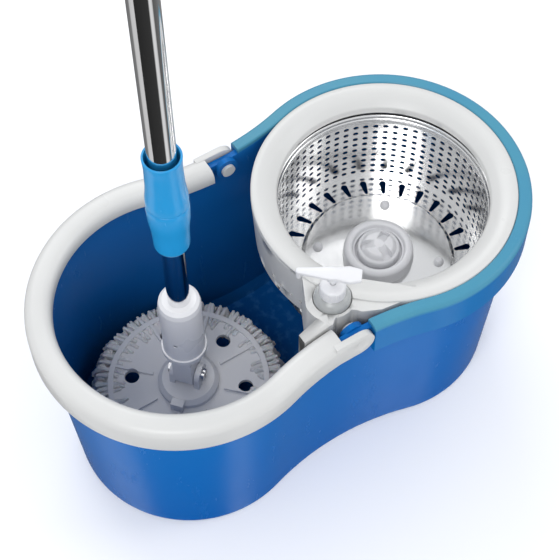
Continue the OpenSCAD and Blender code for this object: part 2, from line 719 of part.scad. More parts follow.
module inner_tube() {
  color("silver") at_wash() rotate([0, 0, swivel_a]) difference() {
    tube(inner_tube_r - tube_t, inner_tube_r, inner_z, inner_top);
    rivet_bore(socket_rivet_z, socket_rivet_r);
  }
}
nut_z = inner_top - 30;
// Bush on the lower tube's top that guides it in the upper tube
module guide_bush() {
  color("black") at_wash() turned([
    [inner_tube_r, inner_top - 12], [outer_in - run_gap, inner_top - 12], [outer_in - run_gap, inner_top + 3],
    [6, inner_top + 3], [6, inner_top], [inner_tube_r, inner_top]]);
}
// One-way housing inside the lower tube; the nut turns in it
module nut_housing() {
  color("black") at_wash() difference() {
    rod(inner_tube_r - tube_t - fit_gap, nut_z - 4, nut_z + 14);
    rod(7 + run_gap, nut_z, nut_z + 15);
    rod(5, nut_z - 5, nut_z + 15);
  }
}
rod_w = 7;
rod_t = 2.4;
module drive_nut() {
  color("orange") at_wash() difference() {
    rod(7, nut_z + 0.2, nut_z + 8);
    translate([-(rod_w + 0.6) / 2, -(rod_t + 2) / 2, nut_z - 1]) cube([rod_w + 0.6, rod_t + 2, 12]);
  }
}
// Flat bar, twisted along its length; pushed through the nut it turns the mop
rod_z = nut_z - press_travel - 12;
rod_top = outer_top - 14;
module twist_rod() {
  mid = nut_z + 4;
  length = rod_top - rod_z;
  color("silver") at_wash() rotate([0, 0, -360 * (mid - rod_z) / rod_lead]) translate([0, 0, rod_z])
    linear_extrude(length, twist = -360 * length / rod_lead, slices = round(length / 5), $fn = 4)
      square([rod_w, rod_t], center = true);
}
plug_r = 3.9;
module rod_plug() {
  color("black") at_wash() difference() {
    union() {
      rod(outer_in - fit_gap, outer_top - 26, outer_top - 1);
      rod(outer_tube_r, outer_top, outer_top + 1.5);
      rod(outer_in - fit_gap, outer_top - 1 - eps, outer_top + eps);
    }
    rod(plug_r, outer_top - 27, rod_top + 0.2);
    rivet_bore(outer_top - 7, rivet_r);
  }
}
rivet_r = 1.5;
module rivet_bore(z, r) {
  translate([0, -40, z]) rotate([-90, 0, 0]) cylinder(r = r, h = 80);
}
module rod_rivet() {
  color("silver") at_wash() translate([0, 0, outer_top - 7]) rotate([-90, 0, 0])
    rod(rivet_r, -outer_tube_r + 0.05, outer_tube_r - 0.05);
}
module outer_tube() {
  color("silver") at_wash() difference() {
    tube(outer_in, outer_tube_r, outer_z, outer_top);
    rivet_bore(outer_top - 7, rivet_r);
  }
}
// Upper collar, moulded on the upper tube, with an open cup at its top
module lock_cup() {
  color("deepskyblue") at_wash() turned([
    [outer_tube_r, outer_z], [outer_in + 0.1, outer_z], [outer_in + 0.1, collar_mid - 16],
    [outer_tube_r + 1.6, collar_mid - 16], [outer_tube_r + 1.6, collar_mid + 0.3],
    [outer_tube_r + 6, collar_mid + 0.3], [outer_tube_r + 5.7, collar_mid + 12],
    [outer_tube_r + 4.1, collar_mid + 22], [outer_tube_r + 3.5, collar_top - 10],
    [outer_tube_r + 4.3, collar_top - 1], [outer_tube_r + 3.5, collar_top],
    [outer_tube_r + 2.1, collar_top], [outer_tube_r + 2.1, collar_top - 14],
    [outer_tube_r, collar_top - 16]]);
}
// Lower collar: turning it squeezes the collet on the lower tube
module lock_sleeve() {
  color("deepskyblue") at_wash() turned([
    [inner_tube_r + 0.4, cup_z], [outer_tube_r + 2.5, cup_z], [outer_tube_r + 3.5, cup_z + 3],
    [outer_tube_r + 4.1, cup_z + 26], [outer_tube_r + 5.9, cup_z + 40],
    [outer_tube_r + 6.1, collar_mid - 2], [outer_tube_r + 5.5, collar_mid],
    [outer_tube_r + 1.8, collar_mid], [outer_tube_r + 1.8, cup_z + 10],
    [inner_tube_r + 0.4, cup_z + 6]]);
}
module lock_collet() {
  color("black") at_wash() difference() {
    tube(inner_tube_r + 0.1, outer_tube_r + 1.5, cup_z + 12, collar_mid - 17);
    translate([0, -1.5, cup_z]) cube([40, 3, 80]);
  }
}
grip_z = outer_top - 150;
grip_r = outer_tube_r + 2.4;
grip_top = outer_top + 22;
module grip() {
  color("deepskyblue") at_wash() difference() {
    union() {
      rod(grip_r, grip_z, outer_top + 1.5);
      for (i = [0:9]) tube(grip_r - 1, grip_r + 1, grip_z + 16 + i * 12, grip_z + 21 + i * 12);
      tube(grip_r - 1, grip_r + 1.5, grip_z, grip_z + 6);
    }
    rod(outer_tube_r, grip_z - 1, outer_top + 2);
  }
}
// Cap on the pole's end with a hole to hang the mop by
module grip_cap() {
  eye_r = 5;
  color("white") at_wash() difference() {
    union() {
      rod(grip_r + 1, outer_top + 1.5, outer_top + 8);
      translate([-grip_r + 1, -5, outer_top + 8 - eps]) cube([2 * grip_r - 2, 10, 14]);
      translate([0, -5, outer_top + 22]) rotate([-90, 0, 0]) cylinder(r = grip_r - 1, h = 10);
    }
    translate([0, -20, outer_top + 21]) rotate([-90, 0, 0]) cylinder(r = eye_r, h = 40);
  }
}

bucket_tub();
rim_collar();
carry_handle();
handle_pins();
deck();
spindle_stand();
wash_stand();
stand_screws();
spindle_shaft();
thrust_washer();
spindle_clip();
basket_wall();
basket_rim();
basket_floor();
basket_carrier();
basket_studs();
hub_bush_upper();
hub_bush_lower();
basket_hub();
hub_cap();
wash_axle();
wash_cap();
soap_bottle();
dip_tube();
pump_closure();
pump_gasket();
pump_housing();
pump_spring();
pump_stem();
pump_head();
mop_plate();
strand_ring();
mop_strands();
swivel_base();
swivel_clips();
swivel_screw();
swivel_nut();
pole_socket();
socket_rivet();
inner_tube();
guide_bush();
drive_nut();
nut_housing();
lock_cup();
lock_sleeve();
lock_collet();
outer_tube();
twist_rod();
rod_plug();
rod_rivet();
grip();
grip_cap();
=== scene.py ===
import math
import random

import bmesh
import bpy
from mathutils import Matrix, Vector


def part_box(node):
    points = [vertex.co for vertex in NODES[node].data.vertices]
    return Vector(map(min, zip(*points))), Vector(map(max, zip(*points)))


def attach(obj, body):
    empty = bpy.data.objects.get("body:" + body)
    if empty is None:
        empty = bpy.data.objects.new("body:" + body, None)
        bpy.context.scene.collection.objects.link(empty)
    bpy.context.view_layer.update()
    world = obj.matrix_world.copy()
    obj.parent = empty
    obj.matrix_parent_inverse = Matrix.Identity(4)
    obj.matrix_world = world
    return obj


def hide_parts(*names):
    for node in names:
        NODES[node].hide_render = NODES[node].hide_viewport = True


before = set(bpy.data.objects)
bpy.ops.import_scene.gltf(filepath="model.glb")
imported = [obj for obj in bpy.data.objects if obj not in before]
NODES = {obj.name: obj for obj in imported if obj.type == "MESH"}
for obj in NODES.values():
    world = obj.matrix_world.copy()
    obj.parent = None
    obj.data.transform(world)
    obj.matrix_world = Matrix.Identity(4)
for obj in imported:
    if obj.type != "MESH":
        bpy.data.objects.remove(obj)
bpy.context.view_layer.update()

# Looks of the spin mop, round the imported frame. Profiles are in millimetres, objects in metres.
MM = 0.001
RANDOM = random.Random(11)


def box_mm(node):
    """The corners of a CAD node's box, in millimetres."""
    low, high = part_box(node)
    return low / MM, high / MM


def axis_of(node):
    low, high = box_mm(node)
    return (low.x + high.x) / 2, (low.y + high.y) / 2


WASH = axis_of("mop_plate")
SPIN = axis_of("basket_wall")
BOTTLE = axis_of("soap_bottle")


# ---- node materials ----
class Nodes:
    """A material's node tree, with short calls for what the materials share."""

    def __init__(self, name):
        self.material = bpy.data.materials.new(name)
        self.material.use_nodes = True
        self.tree = self.material.node_tree
        self.shader = self.tree.nodes["Principled BSDF"]
        self.place = self.tree.nodes.new("ShaderNodeTexCoord").outputs["Object"]

    def add(self, kind, **inputs):
        node = self.tree.nodes.new(kind)
        for key, value in inputs.items():
            self.put(node.inputs[key.replace("_", " ")], value)
        return node

    def put(self, socket, value):
        if isinstance(value, bpy.types.NodeSocket):
            self.tree.links.new(value, socket)
        else:
            socket.default_value = value

    def math(self, operation, *values):
        node = self.tree.nodes.new("ShaderNodeMath")
        node.operation = operation
        for socket, value in zip(node.inputs, values):
            self.put(socket, value)
        return node.outputs[0]

    def scaled(self, factors, offset=(0, 0, 0)):
        node = self.add("ShaderNodeMapping", Vector=self.place)
        node.inputs["Scale"].default_value = factors
        node.inputs["Location"].default_value = offset
        return node.outputs[0]

    def noise(self, scale, detail=2.0, where=None, rough=0.5):
        node = self.add("ShaderNodeTexNoise", Vector=where or self.place)
        node.inputs["Scale"].default_value = scale
        node.inputs["Detail"].default_value = detail
        node.inputs["Roughness"].default_value = rough
        return node.outputs["Fac"]

    def span(self, value, low, high, to_low=0.0, to_high=1.0):
        node = self.add("ShaderNodeMapRange", Value=value)
        node.inputs["From Min"].default_value = low
        node.inputs["From Max"].default_value = high
        node.inputs["To Min"].default_value = to_low
        node.inputs["To Max"].default_value = to_high
        return node.outputs[0]

    def mix(self, factor, a, b):
        node = self.tree.nodes.new("ShaderNodeMix")
        node.data_type = "RGBA"
        self.put(node.inputs["Factor"], factor)
        self.put(node.inputs["A"], a if isinstance(a, bpy.types.NodeSocket) else (*a, 1))
        self.put(node.inputs["B"], b if isinstance(b, bpy.types.NodeSocket) else (*b, 1))
        return node.outputs["Result"]

    def bump(self, height, distance, strength=1.0, normal=None):
        node = self.add("ShaderNodeBump", Height=height)
        node.inputs["Distance"].default_value = distance
        node.inputs["Strength"].default_value = strength
        if normal:
            self.put(node.inputs["Normal"], normal)
        return node.outputs[0]

    def xyz(self, socket=None):
        node = self.add("ShaderNodeSeparateXYZ", Vector=socket or self.place)
        return node.outputs

    def set(self, **inputs):
        for key, value in inputs.items():
            self.put(self.shader.inputs[key.replace("_", " ")], value)
        return self.material


def shade(colour, factor):
    """A darker or lighter colour."""
    return tuple(min(1.0, channel * factor) for channel in colour)


def plastic(name, colour, rough, grain=900.0, depth=0.00006, scuffs=0.0, colouring=None, gloss=0.5):
    """Moulded plastic: a slight flow pattern in the colour, fine grain, and scuffs that dull it."""
    n = Nodes(name)
    base = colouring(n) if colouring else n.mix(0.0, colour, colour)
    flow = n.noise(14.0, 3.0)
    base = n.mix(n.span(flow, 0.3, 0.7, 0.0, 0.22), base, shade(colour, 0.86))
    marks = n.noise(55.0, 6.0, n.scaled((1, 1, 0.25)), 0.7)
    dull = n.span(marks, 0.6, 0.78, 0.0, 0.12 + scuffs)
    rough_now = n.math("ADD", n.span(n.noise(30.0), 0.3, 0.7, rough - 0.03, rough + 0.03), dull)
    height = n.noise(grain, 2.0)
    wave = n.bump(n.noise(22.0, 1.0), 0.0006, 0.25)
    return n.set(Base_Color=base, Roughness=rough_now, IOR=1.48, Specular_IOR_Level=gloss,
                 Normal=n.bump(height, depth, 0.6, wave))


def inside_factor(n):
    """1 on walls that face their lobe's axis, 0 on walls that face out, the mask for the painted shade
    inside; and the height.
    """
    x, y, z = n.xyz()
    side = n.math("SIGN", x)
    radial = n.math("SUBTRACT", x, n.math("MULTIPLY", side, SPIN[0] * MM))
    normal = n.xyz(n.tree.nodes.new("ShaderNodeNewGeometry").outputs["True Normal"])
    dot = n.math("ADD", n.math("MULTIPLY", radial, normal[0]), n.math("MULTIPLY", y, normal[1]))
    return n.span(dot, 0.02, -0.02), z


def tub_colour_with_painted_shade(n):
    """Painted shade: darker inside than out, and darker low down, lighter towards the rim; and rubbed pale
    at the foot, which is wear.
    """
    inner, z = inside_factor(n)
    # painted shade: a darker blue on the inner walls, and both blues darker at the foot and lighter up at
    # the rim
    outside = n.mix(n.span(z, 0.0, 0.2), (0.003, 0.115, 0.42), (0.004, 0.14, 0.46))
    inside = n.mix(n.span(z, 0.0, 0.22), (0.004, 0.075, 0.25), (0.006, 0.115, 0.37))
    rubbed = n.math("MULTIPLY", n.span(z, 0.012, 0.0), n.span(n.noise(120.0, 5.0), 0.5, 0.65))
    return n.mix(rubbed, n.mix(inner, outside, inside), (0.05, 0.2, 0.5))


def collar_colour_with_painted_highlight(n):
    """A painted highlight: lighter on the rounded top than on the skirt."""
    return n.mix(n.span(n.xyz()[2], 0.2215, 0.2255), (0.004, 0.15, 0.42), (0.075, 0.27, 0.37))


def metal(name, colour, rough, streak, streak_depth, anisotropic=0.0, cloud=0.12):
    """Polished or brushed metal; streak gives coordinates for a noise along the working direction."""
    n = Nodes(name)
    lines = n.noise(1.0, 3.0, streak(n), 0.6)
    smudge = n.noise(26.0, 4.0)
    base = n.mix(n.span(smudge, 0.35, 0.7, 0.0, cloud * 2), colour, shade(colour, 0.8))
    base = n.mix(n.span(lines, 0.35, 0.65, 0.0, 0.3), base, shade(colour, 0.88))
    rough_now = n.math("ADD", n.span(lines, 0.3, 0.7, rough * 0.7, rough * 1.3),
                       n.span(smudge, 0.5, 0.75, 0.0, 0.06))
    return n.set(Base_Color=base, Metallic=1.0, Roughness=rough_now, Anisotropic=anisotropic,
                 Normal=n.bump(lines, streak_depth, 0.5))


def round_streaks(axis, fine):
    """Coordinates that change fast with radius and height and slowly with angle: streaks run round."""
    def where(n):
        x, y, z = n.xyz(n.scaled((1, 1, 1), (-axis[0] * MM, -axis[1] * MM, 0)))
        radius = n.math("SQRT", n.math("ADD", n.math("MULTIPLY", x, x), n.math("MULTIPLY", y, y)))
        joined = n.tree.nodes.new("ShaderNodeCombineXYZ")
        n.put(joined.inputs[0], n.math("MULTIPLY", radius, fine))
        n.put(joined.inputs[1], n.math("MULTIPLY", n.math("ARCTAN2", y, x), 3.0))
        n.put(joined.inputs[2], n.math("MULTIPLY", z, fine))
        return joined.outputs[0]
    return where


def long_streaks(fine):
    """Coordinates that hardly change with height, so the streaks run up the pole."""
    return lambda n: n.scaled((fine, fine, fine * 0.02))


def fabric(name, colour):
    """Looped microfibre yarn: a soft pile with fine fuzz."""
    n = Nodes(name)
    fuzz = n.noise(1400.0, 4.0, rough=0.7)
    plies = n.noise(500.0, 2.0)
    base = n.mix(n.span(n.noise(35.0, 3.0), 0.35, 0.7), colour, shade(colour, 0.78))
    base = n.mix(n.span(fuzz, 0.4, 0.7, 0.0, 0.3), base, shade(colour, 0.7))
    height = n.math("ADD", fuzz, n.math("MULTIPLY", plies, 0.6))
    return n.set(Base_Color=base, Roughness=0.9, Sheen_Weight=0.5, Sheen_Roughness=0.4,
                 Subsurface_Weight=0.12, Subsurface_Scale=0.002, Normal=n.bump(height, 0.0008, 0.9))


def clear(name, colour, rough):
    """Cloudy see-through plastic."""
    n = Nodes(name)
    cloud = n.noise(60.0, 3.0)
    base = n.mix(n.span(cloud, 0.3, 0.7), colour, shade(colour, 0.86))
    return n.set(Base_Color=base, Roughness=n.span(cloud, 0.3, 0.7, rough, rough + 0.12),
                 Transmission_Weight=0.6, IOR=1.46, Normal=n.bump(n.noise(40.0), 0.0005, 0.3))


WHITE = (0.60, 0.60, 0.59)
MOP_WHITE = (0.72, 0.72, 0.74)
SKY = (0.018, 0.29, 0.62)
MATERIALS = {
    # tub_blue has painted shade inside the lobes and low on the walls
    "tub_blue": plastic("tub_blue", (0.007, 0.13, 0.48), 0.24, scuffs=0.08, colouring=tub_colour_with_painted_shade,
                        gloss=0.1),
    # collar_blue has a painted highlight along its rounded top
    "collar_blue": plastic("collar_blue", (0.01, 0.17, 0.48), 0.24, colouring=collar_colour_with_painted_highlight,
                           gloss=0.14),
    "sky_blue": plastic("sky_blue", SKY, 0.2, gloss=0.45),
    "white_plastic": plastic("white_plastic", WHITE, 0.3, depth=0.00004, gloss=0.4),
    "mop_white": plastic("mop_white", MOP_WHITE, 0.3, depth=0.00004, gloss=0.4),
    "hidden_plastic": plastic("hidden_plastic", (0.66, 0.66, 0.63), 0.5, grain=600.0, depth=0.0002),
    "basket_steel": metal("basket_steel", (0.80, 0.80, 0.80), 0.2, round_streaks(SPIN, 2200.0),
                          0.00002, anisotropic=0.5),
    "disc_steel": metal("disc_steel", (0.82, 0.82, 0.82), 0.13, round_streaks(SPIN, 900.0),
                        0.00001, anisotropic=0.3),
    "tube_chrome": metal("tube_chrome", (0.83, 0.83, 0.84), 0.07, long_streaks(900.0), 0.000004,
                         cloud=0.05),
    "steel": metal("steel", (0.60, 0.60, 0.61), 0.3, long_streaks(700.0), 0.00002),
    "clear_plastic": clear("clear_plastic", (0.80, 0.82, 0.82), 0.12),
    "bush_plastic": plastic("bush_plastic", (0.42, 0.31, 0.17), 0.45, grain=500.0, depth=0.0001),
    "dark_plastic": plastic("dark_plastic", (0.03, 0.03, 0.032), 0.4, grain=700.0, depth=0.0001),
    "gasket": plastic("gasket", (0.06, 0.06, 0.06), 0.65, grain=800.0, depth=0.0001),
    "microfibre": fabric("microfibre", (0.84, 0.84, 0.86)),
}

# ---- the CAD nodes' materials ----
NODE_SLOTS = {
    "tub_blue": ["bucket_tub"],
    "collar_blue": ["rim_collar"],
    "sky_blue": ["lock_cup", "lock_sleeve", "grip"],
    "white_plastic": ["carry_handle", "handle_pins", "deck"],
    "mop_white": ["basket_studs", "basket_hub", "hub_cap", "pump_closure", "pump_stem", "pump_head",
                  "mop_plate", "strand_ring", "swivel_base", "swivel_clips", "pole_socket", "grip_cap",
                  "wash_cap", "dip_tube"],
    "hidden_plastic": ["spindle_stand", "wash_stand", "basket_carrier", "pump_housing"],
    "basket_steel": ["basket_wall", "basket_rim"],
    "disc_steel": ["basket_floor"],
    "tube_chrome": ["outer_tube", "inner_tube"],
    "steel": ["stand_screws", "spindle_shaft", "thrust_washer", "wash_axle", "pump_spring",
              "swivel_screw", "swivel_nut", "socket_rivet", "rod_rivet", "twist_rod"],
    "clear_plastic": ["soap_bottle"],
    "bush_plastic": ["hub_bush_upper", "hub_bush_lower", "drive_nut"],
    "dark_plastic": ["spindle_clip", "guide_bush", "nut_housing", "lock_collet", "rod_plug"],
    "gasket": ["pump_gasket"],
    "microfibre": ["mop_strands"],
}
for slot_name, members in NODE_SLOTS.items():
    for member in members:
        if not NODES[member].material_slots:
            NODES[member].data.materials.append(MATERIALS[slot_name])
        for entry in NODES[member].material_slots:
            entry.material = MATERIALS[slot_name]

# ---- mesh helpers, in millimetres ----
ON_AXIS = 0.01        # a smaller radius is a point on the axis
LEAST_FILLET = 0.02   # a smaller fillet is left out
FILLET_SHARE = 0.45   # of an edge, for the fillet at one end


def radius_of(node):
    """Half the width of a CAD node's box."""
    low, high = box_mm(node)
    return (high.x - low.x) / 2


def clamp(value):
    return max(0.0, min(1.0, value))


def linked(name, data):
    """A new object in the scene."""
    obj = bpy.data.objects.new(name, data)
    bpy.context.scene.collection.objects.link(obj)
    return obj


def smooth(mesh, sharp):
    """Smooth shading, but for edges that turn by more than an angle in degrees."""
    for polygon in mesh.polygons:
        polygon.use_smooth = True
    mesh.set_sharp_from_angle(angle=math.radians(sharp))


def piece(name, verts, faces, slot, body, replaced, sharp=38.0, material=None):
    """A mesh piece from points in millimetres; it rides on a body and stands for a CAD node."""
    mesh = bpy.data.meshes.new(name)
    mesh.from_pydata([Vector(v) * MM for v in verts], [], faces)
    mesh.validate()
    mesh.materials.append(MATERIALS[material or slot])
    smooth(mesh, sharp)
    obj = linked(name, mesh)
    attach(obj, body)
    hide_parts(replaced)


def fillet(points, radius, steps=4):
    """Rounds the corners of a closed outline that lie right of the axis.

    A point may carry its own radius as a third number.
    """
    out = []
    for i, point in enumerate(points):
        corner = Vector(point[:2])
        before = Vector(points[i - 1][:2]) - corner
        after = Vector(points[(i + 1) % len(points)][:2]) - corner
        wanted = point[2] if len(point) > 2 else radius
        reach = min(wanted, before.length * FILLET_SHARE, after.length * FILLET_SHARE)
        if reach < LEAST_FILLET or corner.x < ON_AXIS:
            out.append(tuple(corner))
            continue
        start = corner + before.normalized() * reach
        end = corner + after.normalized() * reach
        for k in range(steps + 1):
            t = k / steps
            out.append(tuple(start * (1 - t) ** 2 + corner * 2 * t * (1 - t) + end * t * t))
    return out


def around(axis, radius, angle, z):
    """The point at a radius, an angle and a height round a vertical axis."""
    return axis[0] + radius * math.cos(angle), axis[1] + radius * math.sin(angle), z


def lathe_mesh(outline, axis, segments=144):
    """Points and faces of a closed outline of (radius, height) turned round a vertical axis."""
    verts = []
    rings = []
    for radius, height in outline:
        if radius < ON_AXIS:
            rings.append([len(verts)] * segments)
            verts.append((axis[0], axis[1], height))
            continue
        rings.append(list(range(len(verts), len(verts) + segments)))
        verts += [around(axis, radius, 2 * math.pi * k / segments, height) for k in range(segments)]
    faces = []
    for i, high in enumerate(rings):
        low = rings[i - 1]
        for k in range(segments):
            m = (k + 1) % segments
            unique = list(dict.fromkeys([low[k], low[m], high[m], high[k]]))
            if len(unique) > 2:
                faces.append(unique)
    return verts, faces


def lathe(name, outline, axis, slot, body, replaced, radius=0.8, segments=144, **more):
    verts, faces = lathe_mesh(fillet(outline, radius), axis, segments)
    piece(name, verts, faces, slot, body, replaced, **more)


def loft_faces(rings, count):
    """Faces between successive rings of count points each."""
    faces = []
    for i in range(rings - 1):
        for k in range(count):
            m = (k + 1) % count
            faces.append([i * count + k, i * count + m, (i + 1) * count + m, (i + 1) * count + k])
    return faces


def fan_faces(first, count, tip):
    """Faces from a ring of count points, which starts at a first one, to its tip."""
    return [[first + k, first + (k + 1) % count, tip] for k in range(count)]


def merge(*parts):
    """Joins meshes, each its points and its faces, into one."""
    verts = []
    faces = []
    for more_verts, more_faces in parts:
        offset = len(verts)
        verts += more_verts
        faces += [[i + offset for i in face] for face in more_faces]
    return verts, faces


def softened(node, slot, body, width, crease):
    """A copy of a CAD node with its edges rounded where they turn by more than the crease angle."""
    mesh = NODES[node].data.copy()
    mesh.name = node + "_soft"
    form = bmesh.new()
    form.from_mesh(mesh)
    bmesh.ops.remove_doubles(form, verts=form.verts, dist=0.00001)
    form.to_mesh(mesh)
    form.free()
    obj = linked(node + "_soft", mesh)
    bevel = obj.modifiers.new("round", "BEVEL")
    bevel.width = width * MM
    bevel.segments = 3
    bevel.limit_method = "ANGLE"
    bevel.angle_limit = math.radians(crease)
    evaluated = obj.evaluated_get(bpy.context.evaluated_depsgraph_get())
    rounded = bpy.data.meshes.new_from_object(evaluated)
    obj.modifiers.clear()
    obj.data = rounded
    smooth(rounded, 32.0)
    rounded.materials.clear()
    rounded.materials.append(MATERIALS[slot])
    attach(obj, body)
    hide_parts(node)


softened("deck", "white_plastic", "base", 0.8, 60.0)
softened("carry_handle", "white_plastic", "handle", 1.2, 60.0)

# ---- spin basket ----
WALL_STEEL = 1.0
HOLE_COLUMNS = 64
HOLE_ROWS = 9
HOLE_WIDTH = 5.4
HOLE_HEIGHT = 4.4
PLAIN_BELOW = 3.0    # from the wall's foot to the first row
PLAIN_ABOVE = 11.5   # from the last row to the wall's top


def perforated_wall():
    """The basket's wall, one closed skin with rows of small oval holes."""
    low, high = box_mm("basket_wall")
    outer = radius_of("basket_wall")
    inner = outer - WALL_STEEL
    band_low = low.z + PLAIN_BELOW
    band_high = high.z - PLAIN_ABOVE
    pitch = (band_high - band_low) / HOLE_ROWS
    wide = HOLE_WIDTH / (2 * math.pi * outer / HOLE_COLUMNS) / 2
    tall = HOLE_HEIGHT / pitch / 2
    thirds = [k / 3 for k in range(3)]
    square = ([(t, 0) for t in thirds] + [(1, t) for t in thirds]
              + [(1 - t, 1) for t in thirds] + [(0, 1 - t) for t in thirds])
    verts = []
    faces = []
    index = {}

    def point(radius, turn, z):
        """A shared point; turn counts columns round the wall."""
        key = (round(radius, 2), round(turn % HOLE_COLUMNS, 4), round(z, 3))
        if key not in index:
            index[key] = len(verts)
            verts.append(around(SPIN, radius, 2 * math.pi * turn / HOLE_COLUMNS, z))
        return index[key]

    def cell(radius, column, z):
        """The square edge of one hole's cell, and the hole."""
        edge = [point(radius, column + u, z + v * pitch) for u, v in square]
        hole = []
        for u, v in square:
            a = math.atan2(v - 0.5, u - 0.5)
            hole.append(point(radius, column + 0.5 + wide * math.cos(a),
                              z + (0.5 + tall * math.sin(a)) * pitch))
        return edge, hole

    for row in range(HOLE_ROWS):
        for column in range(HOLE_COLUMNS):
            edge_in, hole_in = cell(inner, column, band_low + row * pitch)
            edge_out, hole_out = cell(outer, column, band_low + row * pitch)
            for k in range(len(square)):
                m = (k + 1) % len(square)
                faces.append([edge_out[k], edge_out[m], hole_out[m], hole_out[k]])
                faces.append([edge_in[m], edge_in[k], hole_in[k], hole_in[m]])
                faces.append([hole_out[k], hole_out[m], hole_in[m], hole_in[k]])
    turns = [column + t for column in range(HOLE_COLUMNS) for t in thirds]
    for z0, z1, end in ((low.z, band_low, low.z), (band_high, high.z, high.z)):
        for k, turn in enumerate(turns):
            after = turns[(k + 1) % len(turns)]
            faces.append([point(outer, turn, z0), point(outer, after, z0),
                          point(outer, after, z1), point(outer, turn, z1)])
            faces.append([point(inner, after, z0), point(inner, turn, z0),
                          point(inner, turn, z1), point(inner, after, z1)])
            faces.append([point(outer, turn, end), point(outer, after, end),
                          point(inner, after, end), point(inner, turn, end)])
    piece("basket_wall_fine", verts, faces, "basket_steel", "basket", "basket_wall")


def rolled_rim():
    """A bead outside the wall's top, and a lining with two ridges inside it."""
    low, high = box_mm("basket_rim")
    top = high.z
    bead = radius_of("basket_rim")
    wall = radius_of("basket_wall")
    lathe("basket_rim_rolled", [
        (wall - 1.05, low.z + 0.4), (wall + 0.9, low.z + 0.2), (wall + 1.0, top - 5.0, 1.5),
        (bead - 0.2, top - 3.4, 1.4), (bead - 0.1, top - 1.2, 1.4), (wall + 1.2, top - 0.02, 1.6),
        (wall - 0.7, top - 0.3, 1.0), (wall - 1.9, top - 2.2, 0.8), (wall - 1.6, top - 3.6, 0.6),
        (wall - 2.8, top - 4.6, 0.6), (wall - 2.8, top - 5.4, 0.6), (wall - 1.7, top - 6.6, 0.6),
        (wall - 1.7, top - 8.6, 0.6), (wall - 2.3, top - 9.4, 0.5), (wall - 2.3, top - 10.2, 0.5),
        (wall - 1.7, top - 11.2, 0.5), (wall - 1.7, low.z + 0.4)],
        SPIN, "basket_steel", "basket", "basket_rim", radius=0.3, segments=192)


def hub_ring():
    """The hub, with rounded shoulders round the button's seat."""
    low, high = box_mm("basket_hub")
    foot = low.z
    top = high.z
    hub = radius_of("basket_hub")
    button = radius_of("hub_cap")
    lathe("hub_ring", [
        (button - 2.0, foot), (hub, foot, 0.4), (hub - 0.6, foot + 3, 2), (hub - 1.0, top - 2, 4),
        (hub - 5.0, top, 4), (hub - 8.5, top - 0.4, 2), (hub - 10.0, top - 4.5, 1.2),
        (button + 2.6, top - 4.6, 0.8), (button + 2.4, foot + 4, 0.6), (button - 2.0, foot + 4, 0.4)],
        SPIN, "white_plastic", "basket", "basket_hub", segments=128, material="mop_white")


NOTCH_ANGLES = (0.52, 2.62, 4.71)   # radians, a third of a turn apart
NOTCH_DEPTH = 6.5
NOTCH_HALF = 4.4                    # half its width
CROWN_R = 12.0
CROWN_RISE = 0.9
SLOPE_R = 12.5                      # where the top starts to fall off
SLOPE_FALL = 4.2


def button_height(radius, angle, top, top_r):
    """How high the button's face is: a crown that falls off outside, less its three notches."""
    slope = max(0.0, (radius - SLOPE_R) / (top_r - SLOPE_R))
    z = top - CROWN_RISE * min(1.0, radius / CROWN_R) ** 2 - SLOPE_FALL * slope ** 1.6
    off = min(abs((angle - notch + math.pi) % (2 * math.pi) - math.pi) for notch in NOTCH_ANGLES)
    across = radius * math.sin(min(off, 1.5))
    depth = NOTCH_DEPTH * clamp((radius - 4.5) / 9.0)
    inside = clamp((NOTCH_HALF - across) / 0.9)
    return z - depth * inside * (1 - slope * 0.3)


def key_button():
    """The button in the hub, a flange and a face with three notches."""
    low, high = box_mm("hub_cap")
    outer = radius_of("hub_cap")
    top = high.z - 0.05
    top_r = outer - 3.0
    face_rings = 26
    turns = 144
    angles = [2 * math.pi * k / turns for k in range(turns)]
    flange = [(12.0, low.z), (outer, low.z), (outer, high.z - 7.2), (outer - 0.3, high.z - 6.2),
              (outer - 1.2, high.z - 5.6), (outer - 2.6, high.z - 5.3)]
    verts = [around(SPIN, radius, a, z) for radius, z in flange for a in angles]
    for i in range(face_rings):
        radius = top_r * (1 - i / face_rings)
        verts += [around(SPIN, radius, a, button_height(radius, a, top, top_r)) for a in angles]
    verts.append((SPIN[0], SPIN[1], top))
    rings = len(flange) + face_rings
    faces = loft_faces(rings, turns) + fan_faces((rings - 1) * turns, turns, len(verts) - 1)
    faces.append(list(reversed(range(turns))))
    piece("key_button", verts, faces, "white_plastic", "basket", "hub_cap", sharp=50.0,
          material="mop_white")


perforated_wall()
rolled_rim()
hub_ring()
key_button()

# ---- microfibre strands ----
STRAND_Z = box_mm("mop_plate")[0].z - 1.0
PLATE_R = radius_of("mop_plate")
LAYERS = [  # count, start and reach past the plate's edge, lift, fall, sway
    (120, -1.0, 17.5, 7.0, 10.0, 0.05),
    (130, -1.0, 17.5, 3.5, 18.0, 0.09),
    (120, -3.0, 15.0, 0.5, 28.0, 0.12),
    (90, -10.0, 4.0, -1.0, 36.0, 0.16),
]
LOOPS = 84
LOOP_R = PLATE_R + 2.0   # where a loop leaves the plate's edge


def yarn(path, radius, twist, sides=7):
    """A two-ply yarn along a path: its oval section turns as it runs."""
    verts = []
    for i, p in enumerate(path):
        before = path[max(0, i - 1)]
        after = path[min(len(path) - 1, i + 1)]
        along = (after - before).normalized()
        side = along.cross(Vector((0, 0, 1)))
        if side.length < 0.05:
            side = along.cross(Vector((0, 1, 0)))
        side.normalize()
        over = side.cross(along)
        taper = 1.0 if 0 < i < len(path) - 1 else 0.55
        for k in range(sides):
            a = 2 * math.pi * k / sides
            r = radius * taper * (1 + 0.3 * math.cos(2 * a + twist * i))
            verts.append(tuple(p + side * (r * math.cos(a)) + over * (r * math.sin(a))))
    faces = loft_faces(len(path), sides)
    faces.append(list(reversed(range(sides))))
    faces.append([(len(path) - 1) * sides + k for k in range(sides)])
    return verts, faces


